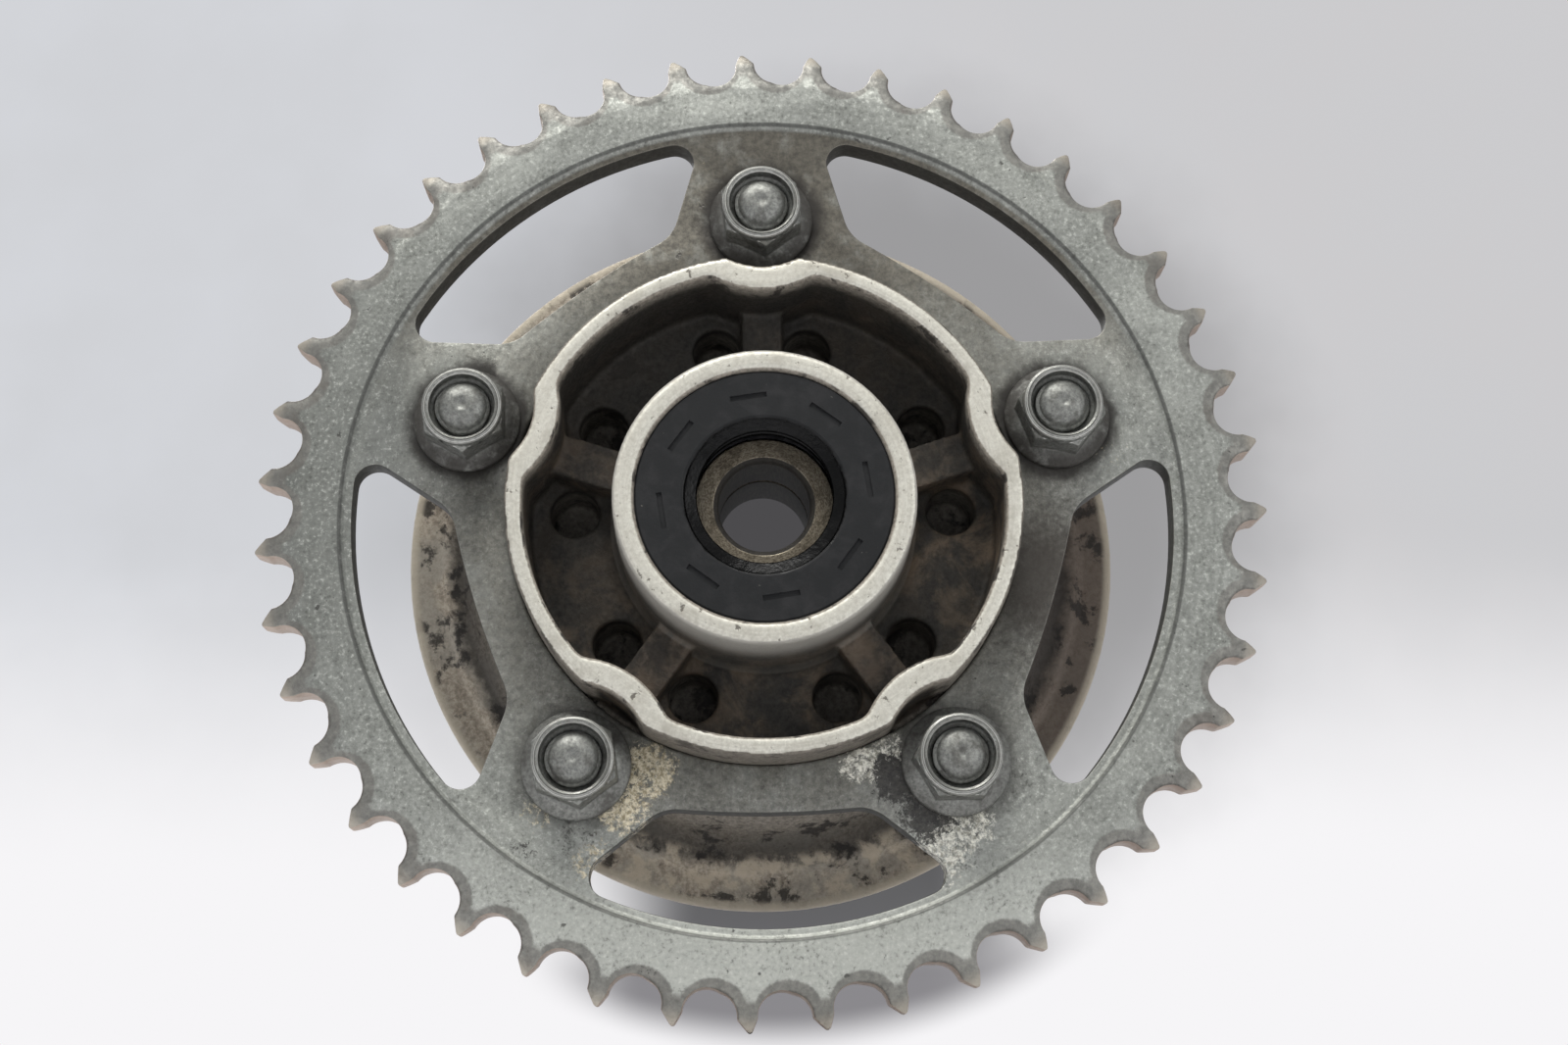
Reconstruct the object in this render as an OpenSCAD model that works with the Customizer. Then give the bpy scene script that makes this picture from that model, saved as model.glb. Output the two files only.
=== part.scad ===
// Rear sprocket of a chain-driven motorcycle, bolted to its hub carrier.
// The wheel axle lies along Y: the nuts and the dust seal face -Y, the wheel is on the +Y side,
// and +Z is up. The origin is on the axle, at the middle of the sprocket's thickness, which is
// the chain line. Outlines are drawn in the X-Z plane and profiles as [radius, y].

/* [Sprocket] */
// Number of teeth
teeth = 43; // [41:1:45]
// Chain pitch
chain_pitch = 15.875; // [15.6:0.005:16.1]
// Chain roller diameter
roller_d = 10.16; // [10:0.01:10.3]
// Thickness of the toothed rim
rim_t = 8.6; // [7.8:0.1:9.4]
// Thickness of the web between the windows
web_t = 6.4; // [5:0.1:7]
// Height of a tooth above the nominal root circle
tooth_h = 8.05; // [7.8:0.05:8.2]
// Depth that the chain has worn into the root circle
root_wear = 0.45; // [0.1:0.05:0.8]
// Bore of the sprocket, which sits on the carrier's wall
sprocket_bore_d = 112; // [112:0.1:113]
// Radius of the windows' outer edge
window_outer_r = 90.5; // [86:0.5:91]
// Distance from the axle to the middle of a window's inner edge
window_inner_r = 66.2; // [64:0.2:68]

/* [Studs and nuts] */
// Diameter of the circle through the studs
stud_circle_d = 138; // [136:0.5:140]
// Nominal thread diameter
thread_d = 12; // [10:1:12]
// Diameter of the sprocket's stud holes
stud_hole_d = 12.5; // [12.3:0.1:13]
// Nut width across flats
nut_af = 17; // [16:0.5:18]
// Nut flange diameter
nut_flange_d = 23.6; // [22:0.2:25]
// Nut height over the crimped collar
nut_h = 11.8; // [11:0.1:12.5]

/* [Carrier] */
// Outer diameter of the wavy wall
wall_d = 111.9; // [111.5:0.1:111.9]
// Thickness of the wavy wall
wall_t = 3.8; // [3.2:0.1:4.4]
// How far the wall's front face stands in front of the chain line
wall_front = 15.4; // [13:0.1:16]
// Outer diameter of the middle boss
boss_d = 65.6; // [64:0.2:68]
// How far the boss stands in front of the chain line
boss_front = 17.8; // [17:0.1:19]
// Depth of the pocket's floor behind the chain line
floor_y = 7.5; // [6:0.5:9]
// Outer diameter of the rear disc
disc_d = 166.8; // [164:0.2:170]
// Depth of the rear disc's back face behind the chain line
disc_back = 39; // [37:0.5:41]
// How far the drive vanes reach behind the disc
vane_reach = 22; // [14:1:26]

/* [Bearing, seal and collar] */
// Bore of the bearing and of the collar behind it, which take the axle
bearing_bore = 20; // [20:0.1:20.2]
// Bearing outside diameter
bearing_od = 52; // [51.9:0.1:52]
// Bearing width
bearing_w = 15; // [14.5:0.5:15]
// Ball diameter
ball_d = 9.525; // [9.4:0.005:9.525]
// Number of balls
balls = 7; // [6:1:7]
// Dust seal outside diameter
seal_od = 56; // [55.5:0.1:56]
// How far the axle collar reaches behind the chain line
collar_back = 21.5; // [18:0.5:26]

/* [Hidden] */
$fn = 96;
arms = 5;                         // studs, windows, ribs and vanes
arm_step = 360 / arms;
first_stud = 90;                  // direction of the first stud, from +X towards +Z
pitch_r = chain_pitch / (2 * sin(180 / teeth));
root_r = pitch_r - roller_d / 2;
tip_r = root_r + tooth_h;
stud_r = stud_circle_d / 2;
web_front = -web_t / 2;
seat_y = web_t / 2;               // face of the carrier that the sprocket is clamped to
nut_turn = [36, 31, 37, 0, 50];   // where each nut's corners stopped when it was tightened
stud_end = nut_h + 0.8;           // stud length in front of the web
bearing_front = -8;
bearing_back = bearing_front + bearing_w;
ball_y = (bearing_front + bearing_back) / 2;
ball_circle_r = (bearing_bore + bearing_od) / 4;
race_r = ball_d / 2 + 0.2;        // race groove, with running room for the ball
seal_face = -boss_front + 0.8;
pocket_hole_r = 42.5;
pocket_hole_d = 11;
stud_boss_d = 27;
pocket_hole_spread = 14;          // degrees to either side of a stud
hub_back_bore_r = 27;
disc_front = disc_back - 3.2;
recess_y = floor_y + 5;           // bottom of the hollow behind the pocket's floor

STUDS = [for (i = [1:arms]) str("stud_", i)];
NUTS = [for (i = [1:arms]) str("flange_nut_", i)];
BALLS = [for (i = [1:balls]) str("bearing_ball_", i)];
RIVETS = [for (i = [1:balls]) str("cage_rivet_", i)];

// ---- helpers ---------------------------------------------------------------------------

// Turns a [radius, y] profile about the axle.
module turned() {
    rotate([-90, 0, 0]) rotate_extrude() children();
}

// Extrudes an X-Z outline from y0 back to y1.
module slab(y0, y1) {
    translate([0, y1, 0]) rotate([90, 0, 0]) linear_extrude(y1 - y0) children();
}

// A straight round rod along Y.
module rod(d, y0, y1) {
    translate([0, y0, 0]) rotate([-90, 0, 0]) cylinder(d = d, h = y1 - y0);
}

// Places a child at an angle around the axle and a distance from it, turned to face outwards.
module around(angle, r) {
    rotate([0, -angle, 0]) translate([r, 0, 0]) children();
}

function stud_angle(i) = first_stud + arm_step * (i - 1);
function window_angle(i) = stud_angle(i) + arm_step / 2;
function ball_angle(i) = 360 / balls * (i - 1);
function vane_half(r) = 6.5 + (r - 37) / 9;    // half a drive vane's width at radius r

// ---- sprocket --------------------------------------------------------------------------

// Half the thickness from the bore out to the tooth tips, as [radius, y].
function sprocket_edge() = let (w = web_t / 2, h = rim_t / 2, bore = sprocket_bore_d / 2) [
    [bore, w - 0.5], [bore + 0.5, w], [92, w], [93.1, h], [root_r - 1.6, h],
    [root_r + 2, h - 0.2], [root_r + 4.8, h - 0.7], [root_r + 6.8, h - 1.4], [tip_r, h - 2.1]];

// The gap between two teeth, with X across it and Y outwards from the nominal root circle.
// The chain has dragged the roller's seat up the driven flank, so the gap isn't symmetric.
module tooth_gap() {
    seat_r = roller_d / 2;
    worn_seat = [1.3, seat_r - root_wear];
    new_seat = [-0.1, seat_r + 0.05];
    translate(worn_seat) circle(r = seat_r);
    translate(new_seat) circle(r = seat_r);
    polygon([
        new_seat, worn_seat,
        [worn_seat[0] + seat_r - 0.05, worn_seat[1]], [6.75, 5.7], [7.25, 6.8], [7.75, 7.8],
        [8.4, 9.2], [8.4, 11], [-8.3, 11], [-8.3, 9.2], [-7.65, 7.6], [-6.6, 6.6],
        [new_seat[0] - seat_r + 0.05, new_seat[1]]]);
}

// One lightening window, centred on +Y of its own outline.
module window_outline() {
    half = 21.4;                  // half the straight inner edge
    side = [0.786, 0.618] * 46;   // along the edge of a spoke
    crown_r = 208;                // the inner edge bows outwards a little
    offset(r = 4.5, $fn = 48) offset(delta = -4.5) intersection() {
        circle(r = window_outer_r, $fn = 180);
        offset(r = 9, $fn = 48) offset(delta = -9) difference() {
            polygon([
                [-half, 64.4], [half, 64.4], [half + side[0], 64.4 + side[1]],
                [0, 115], [-half - side[0], 64.4 + side[1]]]);
            translate([0, window_inner_r - crown_r]) circle(r = crown_r, $fn = 240);
        }
    }
}

module sprocket() {
    edge = sprocket_edge();
    cut_y = rim_t;
    color("#888b88") difference() {
        turned() polygon(concat(
            edge, [for (i = [len(edge) - 1:-1:0]) [edge[i][0], -edge[i][1]]]));
        slab(-cut_y, cut_y) for (k = [0:teeth - 1]) {
            rotate(360 / teeth * (k + 0.5) - 90) translate([0, root_r]) tooth_gap();
        }
        slab(-cut_y, cut_y) for (i = [1:arms]) rotate(window_angle(i) - 90) window_outline();
        for (i = [1:arms]) around(stud_angle(i), stud_r) rod(stud_hole_d, -cut_y, cut_y);
    }
}

// ---- hub carrier -----------------------------------------------------------------------

// A circle with a round bay towards each stud, its corners eased.
module bayed_circle(r, bay_r, ease) {
    offset(r = ease, $fn = 48) offset(delta = -ease) difference() {
        circle(r = r, $fn = 120);
        at_studs() circle(r = bay_r, $fn = 60);
    }
}

// Drum that widens from the sprocket's seat to the rear disc, as [radius, y].
module drum() {
    disc_r = disc_d / 2;
    turned() polygon([
        [30, seat_y], [58, seat_y], [60.8, seat_y + 2.5], [67.5, disc_front - 6],
        [70.5, disc_front - 2], [75, disc_front - 1.4], [75.8, disc_front],
        [disc_r - 0.6, disc_front], [disc_r, disc_front + 0.6],
        [disc_r, disc_back - 0.6], [disc_r - 0.6, disc_back], [30, disc_back]]);
}

// Hollow in the back of the drum, where the wheel's rubber dampers sit around the vanes. Its
// inner side lies within the hub, which closes it.
module rear_recess() {
    turned() polygon([
        [34, recess_y], [51, recess_y], [53.5, recess_y + 2], [62, disc_back + 1],
        [34, disc_back + 1]]);
}

// Outside of the boss, the hub behind it and the ring that enters the wheel.
module hub_body() {
    boss_r = boss_d / 2;
    turned() polygon([
        [20, -boss_front], [boss_r - 0.5, -boss_front], [boss_r, -boss_front + 0.5],
        [boss_r + 0.4, floor_y - 3.4], [boss_r + 1.4, floor_y - 1], [boss_r + 3.8, floor_y],
        [boss_r + 3.8, recess_y], [38, recess_y + 2], [38, disc_back], [33, disc_back],
        [33, disc_back + 8.4], [32.4, disc_back + 9], [20, disc_back + 9]]);
}

// Everything that is bored out along the axle: seal seat, bearing seat, shoulder, rear bore.
module hub_bore() {
    seal_r = seal_od / 2;
    bearing_r = bearing_od / 2;
    seat_step = bearing_front - 0.3;
    back = disc_back + 10;
    turned() polygon([
        [0, -boss_front - 1], [seal_r + 0.7, -boss_front - 1], [seal_r + 0.7, -boss_front],
        [seal_r, -boss_front + 0.7], [seal_r, seat_step], [bearing_r, seat_step],
        [bearing_r, bearing_back], [22.8, bearing_back], [22.8, bearing_back + 3],
        [hub_back_bore_r, bearing_back + 6], [hub_back_bore_r, disc_back + 8.4],
        [hub_back_bore_r + 1.6, back], [0, back]]);
}

// A drive vane's outline between two distances from the axle, with X outwards.
module vane_outline(inner, outer) {
    offset(r = 3, $fn = 32) offset(delta = -3) polygon([
        [inner, -vane_half(inner)], [outer, -vane_half(outer)],
        [outer, vane_half(outer)], [inner, vane_half(inner)]]);
}

// A drive vane: it starts in the hollow and stands out behind the disc, where it is cored out.
module vane() {
    vane_back = disc_back + vane_reach;
    difference() {
        union() {
            slab(recess_y - 1, disc_front + 2) vane_outline(32, 59);
            slab(disc_front + 1, vane_back) vane_outline(37.4, 73);
        }
        slab(disc_back + 2, vane_back + 1) offset(delta = -4.5) vane_outline(37.4, 73);
    }
}

// Repeats an outline at every stud, turned to face outwards.
module at_studs() {
    for (i = [1:arms]) rotate(stud_angle(i)) translate([stud_r, 0]) children();
}

// Outline of the ten blind holes in the pocket's floor, and of the cups behind them.
module pocket_holes(d) {
    for (i = [1:arms], side = [-1, 1]) {
        rotate(stud_angle(i) + side * pocket_hole_spread) translate([pocket_hole_r, 0])
            circle(d = d);
    }
}

module hub_carrier() {
    wall_r = wall_d / 2;
    bay_r = 15.7;                 // room left in the wall for a nut
    bay_t = 5.6;                  // the wall is thicker there
    rib_w = 9.4;
    o_ring_y = disc_back + 2.6;
    color("#b9b6ae") difference() {
        union() {
            difference() {
                union() {
                    slab(-wall_front, seat_y + 1) bayed_circle(wall_r, bay_r, 3);
                    drum();
                    slab(seat_y, disc_front + 1) at_studs() circle(d = stud_boss_d);
                }
                slab(-wall_front - 1, floor_y) bayed_circle(wall_r - wall_t, bay_r + bay_t, 4);
                rear_recess();
            }
            hub_body();
            for (i = [1:arms]) {
                rotate([0, -stud_angle(i), 0]) translate([31, 0, -rib_w / 2])
                    cube([18.5, floor_y + 1, rib_w]);
                rotate([0, -stud_angle(i), 0]) translate([36, recess_y - 1, -2.5])
                    cube([22, disc_front - recess_y - 2, 5]);
                rotate([0, -window_angle(i), 0]) vane();
            }
            slab(floor_y + 1, floor_y + 16) pocket_holes(pocket_hole_d + 4);
        }
        hub_bore();
        slab(seat_y - 1, seat_y + 25) at_studs() circle(d = thread_d);
        slab(floor_y - 1, floor_y + 13) pocket_holes(pocket_hole_d);
        turned() translate([hub_back_bore_r - 1, o_ring_y - 1.5]) square([2.95, 3]);
    }
}

module hub_o_ring() {
    color("#1c1c1e") turned() translate([hub_back_bore_r + 0.7, disc_back + 2.6]) circle(r = 1.25);
}

// ---- studs and nuts --------------------------------------------------------------------

module stud(i) {
    thread_r = thread_d / 2 - 0.05;
    front = web_front - stud_end;
    color("#8f918f") around(stud_angle(i), stud_r) turned() polygon([
        [0, front + 0.45], [1, front + 0.45], [1.6, front], [thread_r - 1, front],
        [thread_r - 0.75, front + 0.15], [thread_r, front + 1.1], [thread_r, seat_y],
        [thread_r - 0.4, seat_y + 0.6], [thread_r, seat_y + 1.2],
        [thread_r, seat_y + 24], [thread_r - 0.8, seat_y + 25], [0, seat_y + 25]]);
}

module flange_nut(i) {
    flange_r = nut_flange_d / 2;
    hex_r = nut_af / 2 / cos(30);
    crimp_r = 8.75;               // rolled collar that grips the thread
    crimp_in = crimp_r - 1.6;
    top = web_front - nut_h;
    color("#9a9c9a") around(stud_angle(i), stud_r) rotate([0, stud_angle(i), 0]) difference() {
        union() {
            turned() polygon([
                [0, web_front], [flange_r - 0.3, web_front], [flange_r, web_front - 0.3],
                [flange_r, web_front - 1.2], [flange_r - 0.4, web_front - 1.6],
                [hex_r - 0.8, web_front - 3.2], [0, web_front - 3.2]]);
            intersection() {
                slab(top + 2, web_front - 1) rotate(nut_turn[i - 1]) circle(r = hex_r, $fn = 6);
                turned() polygon([
                    [0, web_front - 1], [hex_r + 0.2, web_front - 1], [hex_r + 0.2, top + 3.4],
                    [crimp_r, top + 2], [0, top + 2]]);
            }
            turned() polygon([
                [0, top + 2.4], [crimp_r, top + 2.4], [crimp_r, top + 0.7],
                [crimp_r - 0.15, top + 0.35], [crimp_r - 0.45, top + 0.1],
                [crimp_r - 0.8, top], [0, top]]);
        }
        turned() polygon([
            [0, top - 1], [crimp_in + 0.7, top - 1], [crimp_in + 0.7, top + 0.02],
            [crimp_in + 0.3, top + 0.15], [crimp_in + 0.05, top + 0.4], [crimp_in, top + 0.8],
            [crimp_in, top + 2.4], [thread_d / 2, top + 3.2], [thread_d / 2, web_front + 1],
            [0, web_front + 1]]);
    }
}

// ---- dust seal -------------------------------------------------------------------------

// Rubber: face, outside skin and lip. The case and the garter spring sit in it.
module dust_seal() {
    seal_r = seal_od / 2;
    slots = 8;                    // short slots moulded around the face
    color("#3c3e41") difference() {
        turned() polygon([
            [seal_r, seal_face + 0.4], [seal_r - 0.4, seal_face], [18, seal_face],
            [17.5, seal_face + 0.3], [17.1, seal_face + 0.8], [14.9, seal_face + 1.4],
            [14.65, seal_face + 1.8], [14.9, seal_face + 2.2], [16.9, seal_face + 2.5],
            [17.1, seal_face + 3], [15.2, seal_face + 4.5], [14.9, seal_face + 5],
            [15.4, seal_face + 5.6], [17.4, seal_face + 6.4],
            [18.6, seal_face + 6.2], [19.1, seal_face + 4.6], [19.8, seal_face + 2.6],
            [20.2, seal_face + 1.6], [seal_r - 1, seal_face + 1.6],
            [seal_r - 1, seal_face + 7], [seal_r - 0.5, seal_face + 7.4],
            [seal_r, seal_face + 6.6]]);
        turned() translate([18.6, seal_face + 5.2]) circle(r = 0.82);
        for (k = [0:slots - 1]) {
            rotate([0, -98.5 - 360 / slots * k, 0]) translate([21.8, seal_face - 1, -4])
                cube([1.2, 1.5, 8]);
        }
    }
}

// Steel angle ring that stiffens the seal.
module seal_case() {
    outer = seal_od / 2 - 1;
    front = seal_face + 1.6;
    color("#8c8f92") turned() polygon([
        [20.6, front], [outer, front], [outer, front + 5.2], [outer - 0.8, front + 5.2],
        [outer - 0.8, front + 0.8], [20.6, front + 0.8]]);
}

module seal_garter_spring() {
    color("#b4b6b8") turned() translate([18.6, seal_face + 5.2]) circle(r = 0.8);
}

// ---- bearing ---------------------------------------------------------------------------

module bearing_outer_ring() {
    outer = bearing_od / 2;
    land = ball_circle_r + 2.6;
    color("#a7a9ab") difference() {
        turned() polygon([
            [outer - 0.8, bearing_front], [outer, bearing_front + 0.8],
            [outer, bearing_back - 0.8], [outer - 0.8, bearing_back], [23.4, bearing_back],
            [23.4, bearing_back - 1.6], [land, bearing_back - 2.4],
            [land, bearing_front + 2.4], [23.4, bearing_front + 1.6],
            [23.4, bearing_front]]);
        turned() translate([ball_circle_r, ball_y]) circle(r = race_r);
    }
}

module bearing_inner_ring() {
    bore = bearing_bore / 2;
    land = ball_circle_r - 2.4;
    color("#a39a8c") difference() {
        turned() polygon([
            [bore + 1.3, bearing_front], [15, bearing_front], [15.3, bearing_front + 0.3],
            [15.3, bearing_front + 1.8], [land, bearing_front + 2.1],
            [land, bearing_back - 2.1], [15.3, bearing_back - 1.8],
            [15.3, bearing_back - 0.3], [15, bearing_back], [bore + 1.1, bearing_back],
            [bore + 0.3, bearing_back - 0.3], [bore, bearing_back - 1.1],
            [bore, bearing_front + 1.3], [bore + 0.4, bearing_front + 0.4]]);
        turned() translate([ball_circle_r, ball_y]) circle(r = race_r);
    }
}

module bearing_ball(i) {
    color("#c8cacc") around(ball_angle(i), ball_circle_r) translate([0, ball_y, 0])
        sphere(d = ball_d);
}

// Front half of the pressed cage: a flat ribbon that cups around each ball. The halves are
// riveted together between the balls.
module cage_half() {
    sheet = 0.7;
    split = 0.02;                 // the halves meet here, just off the balls' middle
    cup_r = ball_d / 2 + 0.05;
    inner = ball_circle_r - 1.3;
    ribbon_w = 2.6;
    reach = ball_d / 2 + 1;
    difference() {
        intersection() {
            union() {
                turned() translate([inner, ball_y - sheet]) square([ribbon_w, sheet - split]);
                for (i = [1:balls]) {
                    around(ball_angle(i), ball_circle_r) translate([0, ball_y, 0])
                        sphere(r = cup_r + sheet, $fn = 128);
                }
            }
            turned() translate([inner, ball_y - reach]) square([ribbon_w, reach - split]);
        }
        for (i = [1:balls]) {
            around(ball_angle(i), ball_circle_r) translate([0, ball_y, 0])
                sphere(r = cup_r, $fn = 128);
            around(ball_angle(i + 0.5), ball_circle_r) rod(1.24, ball_y - 1, ball_y + 1);
        }
    }
}

module bearing_cage_front() {
    color("#b79a5a") cage_half();
}

module bearing_cage_rear() {
    color("#b79a5a") translate([0, 2 * ball_y, 0]) mirror([0, 1, 0]) cage_half();
}

module cage_rivet(i) {
    sheet = 0.7;
    color("#b79a5a") around(ball_angle(i + 0.5), ball_circle_r) turned() polygon([
        [0, ball_y - sheet - 0.4], [0.7, ball_y - sheet - 0.4], [1, ball_y - sheet - 0.1],
        [1, ball_y - sheet], [0.6, ball_y - sheet], [0.6, ball_y + sheet],
        [1, ball_y + sheet], [1, ball_y + sheet + 0.1], [0.7, ball_y + sheet + 0.4],
        [0, ball_y + sheet + 0.4]]);
}

// Rubber-faced seal that closes one side of the bearing; side is -1 in front, 1 behind.
module bearing_seal(side) {
    face = side < 0 ? bearing_front + 0.3 : bearing_back - 0.3;
    inside = face - side * 0.9;
    color("#26272a") turned() polygon([
        [15.65, inside], [15.65, face], [22.9, face], [23.35, face - side * 0.3],
        [23.35, inside]]);
}

module bearing_seal_front() {
    bearing_seal(-1);
}

module bearing_seal_rear() {
    bearing_seal(1);
}

// ---- axle collar -----------------------------------------------------------------------

// Distance collar behind the bearing: its flange rests against the inner ring.
module axle_collar() {
    bore = bearing_bore / 2;
    flange_back = bearing_back + 4;
    color("#a79f92") turned() polygon([
        [bore + 0.3, bearing_back], [14.7, bearing_back], [15, bearing_back + 0.3],
        [15, flange_back - 0.6], [14.4, flange_back], [13.2, flange_back],
        [13.2, collar_back - 0.6], [12.6, collar_back], [bore + 0.8, collar_back],
        [bore, collar_back - 0.8], [bore, bearing_back + 0.3]]);
}

// ---- nodes -----------------------------------------------------------------------------

sprocket();
hub_carrier();
dust_seal();
seal_case();
seal_garter_spring();
bearing_outer_ring();
bearing_inner_ring();
bearing_cage_front();
bearing_cage_rear();
bearing_seal_front();
bearing_seal_rear();
axle_collar();
hub_o_ring();
for (i = [1:arms]) {
    stud(i);
    flange_nut(i);
}
for (i = [1:balls]) {
    bearing_ball(i);
    cage_rivet(i);
}
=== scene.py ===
"""Looks of a worn rear sprocket, still bolted to its hub carrier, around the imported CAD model."""

import math

import bmesh
import bpy
from mathutils import Matrix, Vector


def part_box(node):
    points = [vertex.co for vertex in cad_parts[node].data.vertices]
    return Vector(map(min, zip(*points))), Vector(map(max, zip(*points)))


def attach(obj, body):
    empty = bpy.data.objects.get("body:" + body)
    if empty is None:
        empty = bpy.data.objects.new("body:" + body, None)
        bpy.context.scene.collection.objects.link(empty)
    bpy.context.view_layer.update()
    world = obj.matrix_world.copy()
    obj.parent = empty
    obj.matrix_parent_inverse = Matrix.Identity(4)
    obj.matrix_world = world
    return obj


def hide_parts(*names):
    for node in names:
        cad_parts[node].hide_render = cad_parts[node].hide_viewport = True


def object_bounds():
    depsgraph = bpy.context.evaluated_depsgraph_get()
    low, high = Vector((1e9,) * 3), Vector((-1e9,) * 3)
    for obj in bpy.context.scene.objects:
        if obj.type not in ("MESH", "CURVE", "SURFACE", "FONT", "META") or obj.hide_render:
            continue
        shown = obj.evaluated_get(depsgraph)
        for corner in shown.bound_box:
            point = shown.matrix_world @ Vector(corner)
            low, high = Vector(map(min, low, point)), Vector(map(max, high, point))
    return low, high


MM = 0.001
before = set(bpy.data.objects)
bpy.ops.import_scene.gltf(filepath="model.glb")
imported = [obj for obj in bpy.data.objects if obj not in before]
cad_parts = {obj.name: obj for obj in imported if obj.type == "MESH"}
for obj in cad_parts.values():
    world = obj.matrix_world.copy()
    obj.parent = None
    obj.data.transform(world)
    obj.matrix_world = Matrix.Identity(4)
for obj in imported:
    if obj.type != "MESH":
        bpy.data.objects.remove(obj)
cad_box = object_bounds()
CARRIER = "carrier_side"

# ---- sizes that the looks share with the CAD model, in metres ----------------------------

TEETH = 43
ARMS = 5
FIRST_STUD = math.radians(90)
STUD_R = (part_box("stud_1")[0].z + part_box("stud_1")[1].z) / 2
PITCH_R = 15.875 * MM / (2 * math.sin(math.pi / TEETH))
ROOT_R = PITCH_R - 5.08 * MM      # the chain's rollers are 10.16 mm in diameter
RIM_EDGE_R = 93 * MM              # the toothed rim is thicker than the web inside this
CORE_HOLE_R = 42.5 * MM           # the blind holes in the pocket's floor
CORE_HOLE_SPREAD = math.radians(14)
POCKET_R = 55 * MM                # anything nearer the axle is inside the wavy wall
WALL_FRONT = -15.4 * MM
DISC_BACK = 39 * MM

# ---- the stage --------------------------------------------------------------------------

WALL_Y = 0.1                      # the cloth behind the part
STAGE_HALF = 2.0
SHADE_MIDDLE = (1.4 * MM, 28 * MM)  # where the camera sees the axle on the cloth


# ---- node building -----------------------------------------------------------------------

def srgb(r, g, b):
    """A display colour, 0 to 255, as the linear colour that shaders take."""
    def linear(c):
        c /= 255
        return c / 12.92 if c <= 0.04045 else ((c + 0.055) / 1.055) ** 2.4
    return (linear(r), linear(g), linear(b), 1)


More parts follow.
